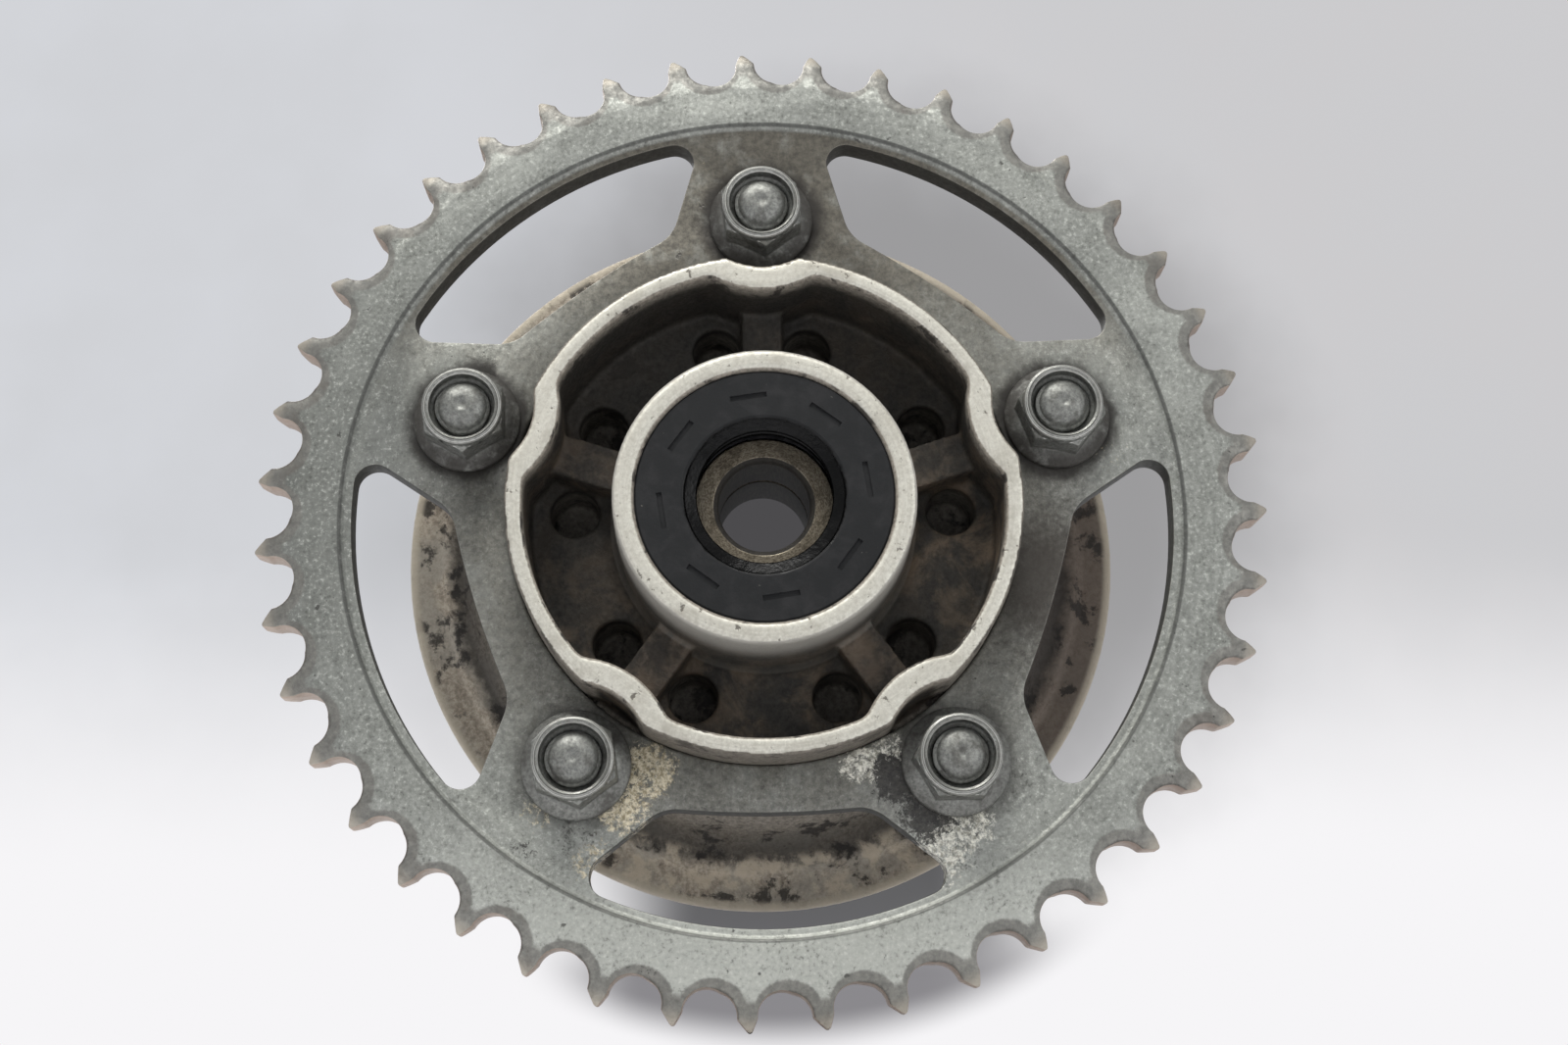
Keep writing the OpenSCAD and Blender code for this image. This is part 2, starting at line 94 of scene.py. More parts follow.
class Shader:
    """A Principled material that is put together from small procedural steps."""

    def __init__(self, name, metallic=0.0, roughness=0.5, specular=0.5):
        self.material = bpy.data.materials.new(name)
        self.material.use_nodes = True
        self.tree = self.material.node_tree
        self.bsdf = self.tree.nodes["Principled BSDF"]
        self.bsdf.inputs["Metallic"].default_value = metallic
        self.bsdf.inputs["Roughness"].default_value = roughness
        self.bsdf.inputs["Specular IOR Level"].default_value = specular
        self.coords = self.node("ShaderNodeTexCoord").outputs["Object"]
        split = self.node("ShaderNodeSeparateXYZ")
        self.link(self.coords, split.inputs[0])
        self.x, self.y, self.z = split.outputs

    def node(self, kind, **settings):
        made = self.tree.nodes.new(kind)
        for key, value in settings.items():
            setattr(made, key, value)
        return made

    def link(self, source, socket):
        """Gives a socket a plain value, or links it to another node's output."""
        if isinstance(source, (int, float, tuple)):
            socket.default_value = source
        else:
            self.tree.links.new(source, socket)

    def set(self, **sockets):
        """Sets the shader's own sockets, with _ for each space in their names."""
        for name, source in sockets.items():
            self.link(source, self.bsdf.inputs[name.replace("_", " ")])

    def math(self, operation, a, b=0.0, c=0.0):
        made = self.node("ShaderNodeMath", operation=operation)
        for source, socket in zip((a, b, c), made.inputs):
            self.link(source, socket)
        return made.outputs[0]

    def step(self, value, low, high, start=0.0, end=1.0):
        """Smoothly from start to end as value goes from low to high."""
        made = self.node("ShaderNodeMapRange", interpolation_type="SMOOTHSTEP")
        for key, source in zip(("Value", "From Min", "From Max", "To Min", "To Max"),
                               (value, low, high, start, end)):
            self.link(source, made.inputs[key])
        return made.outputs[0]

    def noise(self, size, detail=4.0, roughness=0.55, distortion=0.0, seed=0.0, vector=None):
        """Cloudy noise whose blotches are about size metres across."""
        made = self.node("ShaderNodeTexNoise", noise_dimensions="4D")
        self.link(vector or self.coords, made.inputs["Vector"])
        made.inputs["W"].default_value = seed
        made.inputs["Scale"].default_value = 1 / size
        made.inputs["Detail"].default_value = detail
        made.inputs["Roughness"].default_value = roughness
        made.inputs["Distortion"].default_value = distortion
        return made.outputs["Fac"]

    def mix(self, factor, a, b):
        """Colour a where factor is 0, and b where it is 1."""
        made = self.node("ShaderNodeMix", data_type="RGBA")
        for source, socket in zip((factor, a, b), (made.inputs[0], made.inputs[6],
                                                   made.inputs[7])):
            self.link(source, socket)
        return made.outputs[2]

    def radius(self):
        """Distance from the axle."""
        return self.math("SQRT", self.math("ADD", self.math("POWER", self.x, 2.0),
                                           self.math("POWER", self.z, 2.0)))

    def away(self, x, z):
        """Distance, seen along the axle, from a point."""
        dx, dz = self.math("SUBTRACT", self.x, x), self.math("SUBTRACT", self.z, z)
        return self.math("SQRT", self.math("ADD", self.math("MULTIPLY", dx, dx),
                                           self.math("MULTIPLY", dz, dz)))

    def turned_vector(self, around=0.6):
        """Coordinates that change fast outwards and slowly round the axle, for turning marks."""
        made = self.node("ShaderNodeCombineXYZ")
        turn = self.math("ARCTAN2", self.z, self.x)
        self.link(self.radius(), made.inputs[0])
        self.link(self.math("MULTIPLY", turn, around * 10 * MM), made.inputs[1])
        self.link(self.math("MULTIPLY", self.y, 0.1), made.inputs[2])
        return made.outputs[0]

    def folded(self, count, first, r):
        """Distance from the nearest of count points that lie evenly on a circle."""
        step = 2 * math.pi / count
        angle = self.math("ARCTAN2", self.z, self.x)
        turns = self.math("SUBTRACT", angle, first - step / 2 - 8 * math.pi)
        local = self.math("SUBTRACT", self.math("FLOORED_MODULO", turns, step), step / 2)
        radius = self.radius()
        across = self.math("MULTIPLY", radius, self.math("SINE", local))
        out = self.math("SUBTRACT", self.math("MULTIPLY", radius,
                                              self.math("COSINE", local)), r)
        return self.math("SQRT", self.math("ADD", self.math("MULTIPLY", across, across),
                                           self.math("MULTIPLY", out, out)))

    def facing(self, axis):
        """How far the surface faces along an axis, from -1 to 1, at rest."""
        coords = self.node("ShaderNodeTexCoord")
        split = self.node("ShaderNodeSeparateXYZ")
        self.link(coords.outputs["Normal"], split.inputs[0])
        return split.outputs[axis]

    def worn_edges(self, radius):
        """0 on open faces, rising towards 1 within radius of an edge."""
        bevel = self.node("ShaderNodeBevel", samples=4)
        bevel.inputs["Radius"].default_value = radius
        geometry = self.node("ShaderNodeNewGeometry")
        dot = self.node("ShaderNodeVectorMath", operation="DOT_PRODUCT")
        self.link(bevel.outputs[0], dot.inputs[0])
        self.link(geometry.outputs["Normal"], dot.inputs[1])
        return self.math("SUBTRACT", 1.0, dot.outputs["Value"])

    def bump(self, height, depth, strength):
        made = self.node("ShaderNodeBump")
        made.inputs["Strength"].default_value = strength
        made.inputs["Distance"].default_value = depth
        self.link(height, made.inputs["Height"])
        return made.outputs[0]


# ---- materials ---------------------------------------------------------------------------

# Stains on the web, and cream patches of painted sheen on its lower right: kind, x and z in mm,
# reach in mm, and how dense they are in the middle.
STAINS = [
    ("gold", -26, -57, 14, 1.0), ("gold", -30, -65, 12, 0.95), ("gold", -37, -76, 11, 0.8),
    ("gold", -49, -66, 9, 0.7), ("black", -40, -71, 10, 0.75), ("black", -24, -66, 7, 0.6),
    ("black", -52, -74, 9, 0.7), ("black", 28, -59, 12, 1.15), ("black", 34, -67, 12, 1.1),
    ("black", 42, -76, 9, 0.7), ("cream_sheen", 20, -56, 10, 0.95), ("cream_sheen", 26, -52, 9, 0.8),
    ("cream_sheen", 42, -69, 13, 0.95), ("cream_sheen", 36, -76, 13, 0.95), ("cream_sheen", 52, -74, 12, 0.6),
    ("black", 52, -58, 8, 0.7), ("black", 66, 20, 26, 0.62), ("black", -62, 6, 18, 0.5),
    ("black", 60, -22, 18, 0.6), ("black", -6, 66, 30, 0.5), ("gold", -12, 84, 10, 0.5),
    ("gold", 78, 12, 12, 0.55), ("cream_sheen", 0, -62, 16, 0.45), ("black", -27, -98, 8, 0.62),
    ("black", 42, -91, 8, 0.62)]


# colours of each kind; the cream patches are painted sheen, not stains
STAIN_COLOURS = {"gold": (srgb(146, 134, 106), srgb(224, 214, 188)),
                 "cream_sheen": (srgb(150, 148, 136), srgb(240, 238, 226)),
                 "black": (srgb(20, 18, 17), srgb(50, 47, 43))}


def stained(s, base, grit, web):
    """Lays the stains and the painted sheen over a colour, and also gives where each kind of them
    lies.
    """
    grains = s.noise(1.3 * MM, 7, 0.76, 0.5, seed=21)
    low_rim = s.step(s.z, -85 * MM, -88 * MM)
    marks = dict.fromkeys(STAIN_COLOURS, 0.0)
    for kind, x, z, reach, density in STAINS:
        near = s.step(s.away(x * MM, z * MM), reach * MM, 0.2 * reach * MM, 0, density)
        marks[kind] = s.math("MAXIMUM", near, marks[kind])
    for kind, (low, high) in STAIN_COLOURS.items():
        limit = s.math("MULTIPLY_ADD", marks[kind], -0.42, 0.82)
        over = s.math("SUBTRACT", grains if kind != "cream_sheen" else
                      s.math("SUBTRACT", 1.0, grains), limit)
        where = s.math("MAXIMUM", web, low_rim) if kind == "black" else web
        marks[kind] = s.math("MULTIPLY", s.step(over, -0.01, 0.09), where)
        base = s.mix(s.math("MULTIPLY", marks[kind], 0.9), base,
                     s.mix(s.step(grit, 0.38, 0.6), low, high))
    return base, marks


def worn_zinc():
    """Sprocket plate: dull zinc with painted light low down, chain-polished teeth, stained web with
    painted sheen, painted shade in its step and along its tooth gaps, dirt and painted shade in its
    windows, grease round the nuts.
    """
    s = Shader("worn_zinc", metallic=0.5, roughness=0.5)
    radius = s.radius()
    fine = s.noise(1.6 * MM, 7, 0.75, 0.2)
    smudge = s.noise(7 * MM, 5, 0.6, 0.4, seed=3)
    broad = s.noise(26 * MM, 3, 0.5, 0.3, seed=12)
    flecks = s.noise(0.6 * MM, 3, 0.6, seed=8)
    streaks = s.noise(1.5 * MM, 4, 0.65, seed=15, vector=s.turned_vector(2.0))

    # the zinc, darker towards the left, with painted light making it paler low down, and grit in
    # patches
    zinc = s.mix(s.step(fine, 0.32, 0.7), srgb(124, 126, 121), srgb(154, 156, 150))
    zinc = s.mix(s.step(streaks, 0.45, 0.65, 0, 0.45), zinc, srgb(112, 114, 109))
    zinc = s.mix(s.step(smudge, 0.46, 0.7, 0, 0.5), zinc, srgb(112, 114, 108))
    zinc = s.mix(s.step(broad, 0.45, 0.7, 0, 0.3), zinc, srgb(180, 182, 175))
    zinc = s.mix(s.step(flecks, 0.62, 0.72, 0, 0.35), zinc, srgb(196, 198, 190))
    zinc = s.mix(s.step(s.away(-110 * MM, 10 * MM), 70 * MM, 20 * MM, 0, 0.45), zinc,
                 srgb(88, 90, 86))
    # painted light: the zinc paler low down
    zinc = s.mix(s.step(s.z, -60 * MM, -100 * MM, 0, 0.5), zinc, srgb(204, 206, 198))
    grit = s.noise(0.9 * MM, 5, 0.7, seed=27)
    patchy = s.step(smudge, 0.36, 0.6, 0.35, 1.3)
    zinc = s.mix(s.math("MULTIPLY", s.step(grit, 0.5, 0.3, 0, 0.6), patchy), zinc,
                 srgb(70, 70, 66))
    zinc = s.mix(s.step(grit, 0.52, 0.7, 0, 0.5), zinc, srgb(214, 216, 208))

    # oil on the inner web and a darker patchy tone towards the top, mud on its right, and painted
    # shade along the rim's step
    web = s.step(radius, RIM_EDGE_R - 0.6 * MM, RIM_EDGE_R - 1.6 * MM)
    stain = s.mix(s.step(fine, 0.3, 0.7), srgb(68, 65, 59), srgb(108, 104, 94))
    inner = s.step(radius, 86 * MM, 62 * MM)
    upper = s.step(s.z, 20 * MM, 62 * MM, 0.0, 1.1)
    web_darkening = s.math("MAXIMUM", s.math("MULTIPLY", inner, 0.6), s.math("MULTIPLY", upper, 0.9))
    web_darkening = s.math("MULTIPLY", web_darkening, s.step(smudge, 0.3, 0.52, 0.55, 1.0))
    base = s.mix(s.math("MULTIPLY", web, web_darkening), zinc, stain)
    right = s.away(62 * MM, -16 * MM)
    mud = s.math("ADD", right, s.math("MULTIPLY", fine, 16 * MM))
    base = s.mix(s.step(mud, 32 * MM, 14 * MM, 0, 0.85), base, srgb(54, 49, 44))
    # painted shade: a dark line along the rim's step
    rim_step_shade = s.math("MULTIPLY",
                    s.step(radius, RIM_EDGE_R - 0.6 * MM, RIM_EDGE_R - 0.2 * MM),
                    s.step(radius, RIM_EDGE_R + 0.6 * MM, RIM_EDGE_R + 0.2 * MM))
    base = s.mix(s.math("MULTIPLY", rim_step_shade, 0.7), base, srgb(54, 54, 52))

    # the band round each tooth gap that the chain's side plates rub, and painted shade along the
    # gap's edge
    gaps = s.folded(TEETH, math.pi / TEETH, PITCH_R)
    ragged = s.math("ADD", gaps, s.math("MULTIPLY", fine, 0.9 * MM))
    band = s.step(ragged, 8.5 * MM, 7.8 * MM)
    tooth = s.math("MAXIMUM", band, s.step(radius, ROOT_R + 1 * MM, ROOT_R + 2.6 * MM))
    steel = s.mix(s.step(fine, 0.35, 0.7), srgb(98, 97, 93), srgb(128, 126, 120))
    steel = s.mix(s.step(radius, ROOT_R + 4 * MM, ROOT_R + 8 * MM), steel, srgb(170, 162, 149))
    steel = s.mix(s.step(smudge, 0.52, 0.66, 0, 0.5), steel, srgb(90, 84, 78))
    base = s.mix(s.math("MULTIPLY", tooth, 0.85), base, steel)
    # painted shade: a dark line along each tooth gap's edge
    lip = s.step(ragged, 6.3 * MM, 5.7 * MM)
    base = s.mix(s.math("MULTIPLY", lip, 0.6), base, srgb(64, 58, 54))

    # cut sides: dark in the windows, partly dirt and partly painted shade, bare and rusty between
    # the teeth
    flank = s.step(s.math("ABSOLUTE", s.facing(1)), 0.55, 0.25)
    cut = s.math("MULTIPLY", flank, s.step(radius, 94 * MM, 92 * MM))
    base = s.mix(s.math("MULTIPLY", cut, 0.85), base, srgb(46, 45, 42))
    worn = s.math("MULTIPLY", flank, s.step(radius, 98 * MM, 100 * MM))
    base = s.mix(s.math("MULTIPLY", worn, 0.7), base, srgb(168, 148, 132))

    # grime round the nuts, then the stains and the painted sheen
    studs = s.folded(ARMS, FIRST_STUD, STUD_R)
    ring = s.math("ADD", studs, s.math("MULTIPLY", smudge, -7 * MM))
    dirt = s.math("MULTIPLY", s.step(ring, 12.4 * MM, 8.6 * MM),
                  s.step(s.z, -60 * MM, 10 * MM, 0.45, 0.9))
    base = s.mix(dirt, base, srgb(40, 37, 34))

    base, marks = stained(s, base, grit, web)
    gold, grease = marks["gold"], marks["black"]

    # pits and edges worn bright
    pits = s.step(s.noise(3 * MM, 3, 0.6, seed=5), 0.68, 0.73)
    base = s.mix(s.math("MULTIPLY", pits, 0.75), base, srgb(50, 48, 46))
    edge = s.step(s.math("ADD", s.worn_edges(0.6 * MM), s.math("MULTIPLY", fine, -0.12)),
                  0.02, 0.2)
    base = s.mix(s.math("MULTIPLY", edge, 0.45), base, srgb(188, 182, 170))
    s.set(Base_Color=base)

    rough = s.step(fine, 0.3, 0.7, 0.62, 0.4)
    rough = s.math("MULTIPLY_ADD", gold, -0.15, rough)
    rough = s.math("MULTIPLY_ADD", cut, 0.2, rough)
    s.set(Roughness=s.math("MULTIPLY_ADD", edge, -0.1, rough))
    s.set(Metallic=s.math("MULTIPLY_ADD", s.math("MAXIMUM", grease, cut), -0.4, 0.5))
    height = s.math("ADD", s.math("MULTIPLY", fine, 0.6), s.math("MULTIPLY", pits, -0.8))
    height = s.math("MULTIPLY_ADD", dirt, s.math("MULTIPLY", smudge, 2.5), height)
    s.set(Normal=s.bump(s.math("MULTIPLY_ADD", flecks, 0.3, height), 0.12 * MM, 0.6))
    return s.material


def pocket_grime_and_shade(s, broad, blotch):
    """Colour of the pocket: dark grime with painted shade, dust on its floor and ribs, and deeper
    painted shade where no light falls.
    """
    grime = s.mix(s.step(blotch, 0.4, 0.62), srgb(22, 21, 18), srgb(52, 47, 40))
    dust = s.noise(13 * MM, 6, 0.68, 0.4, seed=31)
    where = s.math("MAXIMUM", s.step(s.away(44 * MM, -4 * MM), 24 * MM, 8 * MM),
                   s.step(s.z, 20 * MM, -45 * MM, 0.1, 0.65))
    where = s.math("MAXIMUM", where, s.step(s.away(-42 * MM, 12 * MM), 16 * MM, 6 * MM, 0, 0.8))
    dust = s.math("MULTIPLY", where, s.step(dust, 0.45, 0.62))
    grime = s.mix(s.math("MULTIPLY", dust, 0.75), grime, srgb(114, 98, 80))
    ribs = s.math("MULTIPLY", s.step(s.y, 5.5 * MM, 2 * MM), s.step(s.y, -3 * MM, -0.5 * MM))
    ribs = s.math("MULTIPLY", ribs, s.step(broad, 0.4, 0.55))
    ribs = s.math("MULTIPLY", ribs, s.step(blotch, 0.44, 0.56, 0.25, 1.0))
    ribs = s.math("MULTIPLY", ribs, s.step(s.z, 45 * MM, -20 * MM, 0.25, 0.5))
    grime = s.mix(ribs, grime, srgb(112, 98, 84))
    # painted shade: darker high up on the left, where no light falls
    unlit = s.math("MULTIPLY", s.step(s.z, -5 * MM, 25 * MM), s.step(s.x, 25 * MM, 0.0))
    grime = s.mix(s.math("MULTIPLY", unlit, 0.6), grime, srgb(14, 13, 11))
    return grime


def cast_aluminium():
    """Carrier: bright machined front faces, grimy pocket with painted shade, corroded disc with
    black spots and painted shade.
    """
    s = Shader("cast_aluminium", metallic=0.3, roughness=0.55)
    radius = s.radius()
    fine = s.noise(1.1 * MM, 6, 0.7, 0.3)
    broad = s.noise(11 * MM, 4, 0.6, 0.3, seed=2)
    blotch = s.noise(7 * MM, 6, 0.66, 0.25, seed=6)

    # bare casting, and the corroded disc at the back, with painted shade towards the right and in
    # its middle, paler blotches low down and a pale rim
    cast = s.mix(s.step(fine, 0.3, 0.7), srgb(112, 106, 97), srgb(160, 153, 141))
    rust = s.mix(s.step(fine, 0.35, 0.65), srgb(138, 128, 114), srgb(186, 176, 160))
    rust = s.mix(s.step(broad, 0.42, 0.62, 0, 0.7), rust, srgb(160, 155, 144))
    # painted shade: the disc darker towards the right
    rust = s.mix(s.step(s.x, 20 * MM, 75 * MM, 0, 0.85), rust, srgb(94, 82, 73))
    behind = s.step(s.y, 20 * MM, 34 * MM)
    base = s.mix(behind, cast, rust)
    spots = s.step(blotch, 0.53, 0.6)
    base = s.mix(s.math("MULTIPLY", spots, 0.88), base, srgb(42, 38, 35))
    # painted shade of the sprocket's web on the disc's middle
    ragged = s.math("ADD", radius, s.math("MULTIPLY", blotch, -9 * MM))
    shade = s.math("MULTIPLY", behind, s.step(ragged, 70.5 * MM, 67 * MM))
    base = s.mix(s.math("MULTIPLY", shade, 0.8), base, srgb(36, 33, 30))
    pale = s.math("MULTIPLY", s.step(blotch, 0.5, 0.4), s.step(s.z, -55 * MM, -70 * MM))
    pale = s.math("MULTIPLY", pale, s.step(radius, 70 * MM, 73 * MM))
    base = s.mix(s.math("MULTIPLY", pale, 0.8), base, srgb(198, 186, 166))
    rim = s.step(radius, 80.8 * MM, 82.2 * MM, 0, 0.8)
    base = s.mix(s.math("MULTIPLY", rim, behind), base, srgb(184, 175, 158))
    back = s.step(s.y, DISC_BACK - 0.4 * MM, DISC_BACK - 0.1 * MM)
    grey = s.mix(s.step(fine, 0.3, 0.7), srgb(122, 118, 112), srgb(166, 161, 153))
    grey = s.mix(s.step(blotch, 0.5, 0.62, 0, 0.7), grey, srgb(74, 69, 64))
    base = s.mix(s.math("MULTIPLY", back, 0.85), base, grey)

    # the pocket with its grime and painted shade, painted light on the side of the boss, painted
    # shade in the blind holes, the side of the wall, and painted shade in the bore
    inner = s.step(radius, POCKET_R, POCKET_R - 1 * MM)
    deep = s.math("MULTIPLY", inner, s.step(s.y, WALL_FRONT + 0.6 * MM, -9 * MM))
    deep = s.math("MULTIPLY", deep, s.step(s.y, 12 * MM, 9 * MM))
    base = s.mix(s.math("MULTIPLY", deep, 0.94), base, pocket_grime_and_shade(s, broad, blotch))
    # painted light: the side of the boss made paler towards its front
    boss_side_light = s.math("MULTIPLY", s.step(radius, 34.6 * MM, 34 * MM),
                    s.step(s.y, -2 * MM, -12 * MM, 0.2, 0.95))
    boss_side_light = s.math("MULTIPLY", boss_side_light, s.step(radius, 31 * MM, 32 * MM))
    base = s.mix(boss_side_light, base, srgb(166, 163, 155))
    # painted shade: the insides of the blind holes darkened
    hole = s.math("MINIMUM", s.folded(ARMS, FIRST_STUD - CORE_HOLE_SPREAD, CORE_HOLE_R),
                  s.folded(ARMS, FIRST_STUD + CORE_HOLE_SPREAD, CORE_HOLE_R))
    hole = s.math("MULTIPLY", s.step(hole, 6.0 * MM, 5.4 * MM), s.step(s.y, 7.9 * MM, 9 * MM))
    hole = s.math("MULTIPLY", hole, s.step(s.y, 21.4 * MM, 21 * MM))
    base = s.mix(s.math("MULTIPLY", hole, 0.62), base, srgb(22, 21, 18))
    side = s.math("MULTIPLY", s.step(radius, 54.8 * MM, 55.4 * MM),
                  s.step(s.y, 5 * MM, -2 * MM))
    base = s.mix(s.math("MULTIPLY", side, 0.55), base, srgb(92, 87, 79))
    # painted shade: the carrier's bore darkened
    carrier_bore_shade = s.step(radius, 28.4 * MM, 27.6 * MM)
    base = s.mix(s.math("MULTIPLY", carrier_bore_shade, 0.8), base, srgb(62, 57, 51))

    # the machined front faces of the wall and the boss, nicked and turned
    front = s.step(s.facing(1), -0.8, -0.96)
    machined = s.math("MULTIPLY", front, s.step(s.y, WALL_FRONT + 0.5 * MM,
                                                WALL_FRONT + 0.1 * MM))
    turning = s.noise(0.45 * MM, 2, 0.5, seed=4, vector=s.turned_vector(0.06))
    bright = s.mix(s.step(fine, 0.3, 0.7), srgb(180, 177, 166), srgb(214, 212, 201))
    bright = s.mix(s.step(turning, 0.4, 0.62, 0, 0.25), bright, srgb(164, 160, 149))
    bright = s.mix(s.step(broad, 0.5, 0.68, 0, 0.5), bright, srgb(156, 151, 139))
    nicks = s.step(s.noise(2.4 * MM, 4, 0.65, 0.5, seed=9), 0.61, 0.68)
    bright = s.mix(s.math("MULTIPLY", nicks, 0.8), bright, srgb(78, 72, 64))
    base = s.mix(machined, base, bright)
    s.set(Base_Color=base)

    rough = s.step(fine, 0.3, 0.7, 0.78, 0.58)
    s.set(Roughness=s.math("MULTIPLY_ADD", machined, -0.2, rough))
    s.set(Metallic=s.math("MULTIPLY_ADD", machined, 0.25, 0.25))
    grain = s.math("ADD", s.math("MULTIPLY", fine, 0.8), s.math("MULTIPLY", spots, -0.5))
    grain = s.math("MULTIPLY", grain, s.step(machined, 0.0, 1.0, 1.0, 0.15))
    s.set(Normal=s.bump(s.math("MULTIPLY_ADD", nicks, -0.3, grain), 0.22 * MM, 0.8))
    return s.material


def nut_zinc():
    """Nuts: satin zinc with bright edges, the flange and its root full of road grime and painted
    shade, darker on the upper nuts.
    """
    s = Shader("nut_zinc", metallic=0.75, roughness=0.4)
    fine = s.noise(0.8 * MM, 5, 0.65, 0.3)
    broad = s.noise(4 * MM, 4, 0.6, seed=3)
    base = s.mix(s.step(fine, 0.3, 0.7), srgb(112, 113, 109), srgb(154, 155, 150))
    base = s.mix(s.step(broad, 0.5, 0.68, 0, 0.7), base, srgb(86, 84, 80))
    # grime and painted shade at the flange and its root, darker on the upper nuts
    low = s.step(s.y, -8.5 * MM, -5.2 * MM)
    low = s.math("MULTIPLY", low, s.step(broad, 0.3, 0.5, 0.5, 1.0))
    low = s.math("MULTIPLY", low, s.step(s.z, -62 * MM, -20 * MM, 0.35, 0.92))
    base = s.mix(low, base, srgb(50, 47, 43))
    edge = s.step(s.worn_edges(0.6 * MM), 0.03, 0.25)
    edge = s.math("MULTIPLY", edge, s.step(low, 0.2, 0.9, 1.0, 0.3))
    base = s.mix(s.math("MULTIPLY", edge, 0.6), base, srgb(206, 205, 199))
    s.set(Base_Color=base)
    s.set(Roughness=s.math("MULTIPLY_ADD", low, 0.25, s.step(fine, 0.3, 0.7, 0.5, 0.32)))
    s.set(Metallic=s.math("MULTIPLY_ADD", low, -0.5, 0.75))
    lumps = s.math("MULTIPLY", broad, s.math("MULTIPLY_ADD", low, 3.0, 0.6))
    s.set(Normal=s.bump(s.math("ADD", lumps, fine), 0.1 * MM, 0.6))
    return s.material


def stud_zinc():
    """Studs: grey zinc ends with a dull, slightly pitted skin."""
    s = Shader("stud_zinc", metallic=0.7, roughness=0.42)
    fine = s.noise(0.7 * MM, 5, 0.7)
    broad = s.noise(3 * MM, 4, 0.6, seed=1)
    base = s.mix(s.step(fine, 0.3, 0.7), srgb(100, 101, 98), srgb(144, 145, 140))
    base = s.mix(s.step(broad, 0.48, 0.68, 0, 0.7), base, srgb(80, 78, 74))
    s.set(Base_Color=base, Roughness=s.step(broad, 0.3, 0.7, 0.42, 0.6))
    s.set(Normal=s.bump(fine, 0.06 * MM, 0.5))
    return s.material


def seal_rubber():
    """Dust seal: matt moulded rubber with pale dust, wet with grease at its lip."""
    s = Shader("seal_rubber", roughness=0.62, specular=0.2)
    radius = s.radius()
    fine = s.noise(0.6 * MM, 4, 0.6)
    dust = s.noise(5 * MM, 5, 0.65, 0.5, seed=2)
    base = s.mix(s.step(dust, 0.4, 0.72), srgb(27, 28, 29), srgb(40, 40, 41))
    specks = s.step(s.noise(0.9 * MM, 2, 0.5, seed=4), 0.74, 0.8, 0, 0.5)
    base = s.mix(specks, base, srgb(112, 110, 104))
    wet = s.math("ADD", radius, s.math("MULTIPLY", s.noise(2.5 * MM, 3, seed=7), 1.4 * MM))
    wet = s.step(wet, 18.6 * MM, 18.1 * MM)
    base = s.mix(wet, base, srgb(5, 5, 5))
    s.set(Base_Color=base)
    s.set(Roughness=s.math("MULTIPLY_ADD", wet, -0.4, s.step(dust, 0.3, 0.7, 0.58, 0.72)))
    lumps = s.math("MULTIPLY", s.noise(1.6 * MM, 3, 0.6, seed=11), wet)
    s.set(Normal=s.bump(s.math("MULTIPLY_ADD", lumps, 3.0, fine), 0.08 * MM, 0.5))
    return s.material


def plain_rubber(name, colour):
    """Small moulded rubber parts with a faint grain and a film of grease."""
    s = Shader(name, roughness=0.45, specular=0.4)
    fine = s.noise(0.5 * MM, 4, 0.6)
    film = s.noise(3 * MM, 4, 0.6, 0.4, seed=2)
    dark = tuple(0.55 * c for c in colour[:3]) + (1,)
    s.set(Base_Color=s.mix(s.step(film, 0.35, 0.65), colour, dark))
    s.set(Roughness=s.step(film, 0.35, 0.7, 0.55, 0.25))
    s.set(Normal=s.bump(fine, 0.05 * MM, 0.5))
    return s.material


def ground_steel(name, light, dark, roughness, stain=0.3, dark_bore=0.0):
    """Turned or ground steel: fine marks round the axle, patchy stains, and painted shade inside
    the bore.
    """
    s = Shader(name, metallic=0.9, roughness=roughness)
    marks = s.noise(0.22 * MM, 2, 0.5, vector=s.turned_vector())
    patches = s.noise(3.5 * MM, 5, 0.6, 0.5, seed=5)
    base = s.mix(s.step(marks, 0.35, 0.65), dark, light)
    shade = tuple(0.35 * c for c in dark[:3]) + (1,)
    base = s.mix(s.step(patches, 0.46, 0.7, 0, stain), base, shade)
    rough = s.step(patches, 0.35, 0.7, roughness, min(roughness + 0.25, 1))
    if dark_bore:
        # painted shade: the inside of the bore darkened
        bore = s.step(s.radius(), dark_bore + 0.3 * MM, dark_bore)
        rough = s.math("MAXIMUM", rough, s.math("MULTIPLY", bore, 0.8))
        s.set(Metallic=s.math("MULTIPLY_ADD", bore, -0.7, 0.9))
        base = s.mix(s.math("MULTIPLY", bore, 0.9), base, srgb(20, 18, 16))
    s.set(Base_Color=base)
    s.set(Roughness=rough)
    s.set(Normal=s.bump(marks, 0.03 * MM, 0.4))
    return s.material


def stage_material(name, colour):
    material = bpy.data.materials.new(name)
    material.use_nodes = True
    shader = material.node_tree.nodes["Principled BSDF"]
    shader.inputs["Base Color"].default_value = colour
    shader.inputs["Roughness"].default_value = 0.9
    return material


